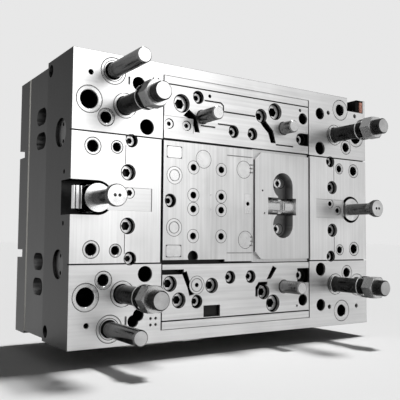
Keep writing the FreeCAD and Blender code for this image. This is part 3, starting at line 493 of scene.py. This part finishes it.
bands("puller_bands", bolt_circles, [(face_y - 0.0775, face_y - 0.0755), (face_y - 0.0075, face_y - 0.0065)],
      0.00025, highlight_steel, bolt_body)
thread_starts = [nut_back + 0.0025 + turn * THREAD_PITCH for turn in range(THREAD_TURNS)]
thread_spans = [(start, start + THREAD_WIDTH) for start in thread_starts]
bands("puller_thread_shade", bolt_circles, thread_spans, 0.0002, painted_shade_black, bolt_body)


# ------------------------------------------------------------------ latch studs
# A turned steel stud stands in a pocket at each end of the plate. Two bright bands of painted
# highlight lie just under the surface of its foot. Three narrow bright strips of painted highlight are
# at the outer end of each pocket, clear of its floor and walls.

finish(steel("latch_stud_steel", 0.1, 0.22, (40, 400, 40), contrast=0.2, ends=0.7),
       "left_latch_stud", "right_latch_stud")

foot_circles = []
for stud in ("left_latch_stud", "right_latch_stud"):
    stud_low, stud_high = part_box(stud)
    foot_radius = (stud_high.x - stud_low.x) / 2
    foot_circles.append(((stud_low.x + stud_high.x) / 2, 0.0, foot_radius - 0.0015))
bands("latch_bands", foot_circles, [(face_y + 0.0015, face_y + 0.0055), (face_y + 0.0095, face_y + 0.0115)],
      0.0012, highlight_steel, plate_body)

BOX_FACES = ((0, 1, 3, 2), (4, 6, 7, 5), (0, 4, 5, 1), (2, 3, 7, 6), (0, 2, 6, 4), (1, 5, 7, 3))


def box_piece(name, boxes, material, body):
    """One piece made of straight blocks. boxes is a list of (lowest corner, highest corner)."""
    corners = []
    faces = []
    for low, high in boxes:
        first = len(corners)
        spans = zip(low, high)
        corners += itertools.product(*spans)
        for face in BOX_FACES:
            faces.append(tuple(first + corner for corner in face))
    return add_piece(name, corners, faces, material, body)


STRIP_HALF = 0.019
# Each strip's distance in from the side of the plate, and its width
STRIPS = ((0.0205, 0.0015), (0.0155, 0.0045), (0.0085, 0.0015))
strips = []
for side in (-1, 1):
    for inset, width in STRIPS:
        near, far = sorted((side * (side_x - inset), side * (side_x - inset + width)))
        strips.append(((near, face_y + 0.0015, -STRIP_HALF), (far, face_y + 0.012, STRIP_HALF)))
box_piece("latch_highlight_strips", strips, highlight_steel, plate_body)


# ------------------------------------------------------------------- port notch
# A notch milled in the top corner takes the cable port. Its inner half and its top edge are black with
# painted shade, and a small moulded plastic cap closes the outer half.

NOTCH_SUNK = 0.003
NOTCH_EDGE = 0.0012
CAP_START = 0.55
cap_low, cap_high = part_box("port_cap")
split_x = cap_low.x + CAP_START * (cap_high.x - cap_low.x)
# Black blocks of painted shade in the notch
dark_half = ((cap_low.x, cap_low.y + NOTCH_SUNK, cap_low.z), (split_x, cap_high.y, cap_high.z - 0.001))
dark_edge = ((cap_low.x, cap_low.y + 0.0005, cap_high.z - NOTCH_EDGE), (cap_high.x, cap_high.y, cap_high.z))
notch = box_piece("port_notch", [dark_half, dark_edge], painted_shade_black, plate_body)
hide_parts("port_cap")

cap_plastic = plain("moulded_port_cap", (0.85, 0.4, 0.3), 0.45, (200, 200, 200), 0.0001)
cap_block = ((split_x, cap_low.y, cap_low.z + 0.002), (cap_high.x - 0.001, cap_high.y, cap_high.z - 0.003))
cap = box_piece("port_cap_cover", [cap_block], cap_plastic, plate_body)
rounding = cap.modifiers.new("rounding", "BEVEL")
rounding.width = 0.002
rounding.segments = 3


# ----------------------------------------------------------------------- studio
# A pale floor just under the hung tool takes its shadow from a high light. A soft lamp in front
# draws the highlight on the ground faces, and the world is as pale as the floor.

FLOOR_DROP = 0.030
FLOOR_SIZE = 60
FLOOR_COLOUR = (0.8, 0.8, 0.8, 1)
PALE = 0.806
DIM = 0.035

foot = cad_box[0][2] - FLOOR_DROP
bpy.ops.mesh.primitive_grid_add(x_subdivisions=8, y_subdivisions=8, size=FLOOR_SIZE, location=(0, 0, foot))
floor = bpy.context.object
floor.name = "floor"
floor_paint = bpy.data.materials.new("floor_paint")
floor_paint.use_nodes = True
floor_surface = floor_paint.node_tree.nodes["Principled BSDF"]
floor_surface.inputs["Base Color"].default_value = FLOOR_COLOUR
floor_surface.inputs["Roughness"].default_value = 1.0
floor.data.materials.append(floor_paint)

world = bpy.data.worlds.new("studio")
bpy.context.scene.world = world
world.use_nodes = True
sky = world.node_tree
rays = wire(sky, "ShaderNodeLightPath").outputs
seen = maths(sky, "MAXIMUM", rays["Is Camera Ray"], rays["Is Glossy Ray"])
sky.links.new(spread(sky, seen, 0, 1, DIM, PALE), sky.nodes["Background"].inputs["Strength"])
sky.nodes["Background"].inputs["Color"].default_value = (1, 1, 1, 1)


def hang(name, light, direction):
    """Puts a light in the scene, turned to shine along a direction."""
    holder = bpy.data.objects.new(name, light)
    bpy.context.scene.collection.objects.link(holder)
    holder.rotation_euler = Vector(direction).to_track_quat("-Z", "Y").to_euler()
    return holder


high_light = bpy.data.lights.new("high_light", "SUN")
high_light.energy = 2.96
high_light.angle = math.radians(7)
hang("high_light", high_light, (-0.32, -0.02, -1))

front_light = bpy.data.lights.new("front_lamp", "AREA")
front_light.size = 1.3
front_light.energy = 9
front_place = Vector((0.25, -1.9, 0.75))
front_target = Vector((-0.1, -0.28, 0.15))
front_lamp = hang("front_lamp", front_light, front_target - front_place)
front_lamp.location = front_place
front_lamp.visible_diffuse = False

camera_data = bpy.data.cameras.new("camera")
camera = bpy.data.objects.new("camera", camera_data)
bpy.context.scene.collection.objects.link(camera)
camera.location = (-0.711, -1.213, -0.069)
yaw = math.radians(33.26)
pitch = math.radians(3.76)
roll = math.radians(0.44)
ahead = Vector((math.sin(yaw) * math.cos(pitch), math.cos(yaw) * math.cos(pitch), math.sin(pitch)))
level_view = ahead.to_track_quat("-Z", "Y").to_matrix().to_4x4()
camera.rotation_euler = (level_view @ Matrix.Rotation(roll, 4, "Z")).to_euler()
camera_data.lens = 54.75
camera_data.sensor_width = 36
camera_data.clip_end = 200
bpy.context.scene.camera = camera
bpy.context.scene.view_settings.view_transform = "Standard"
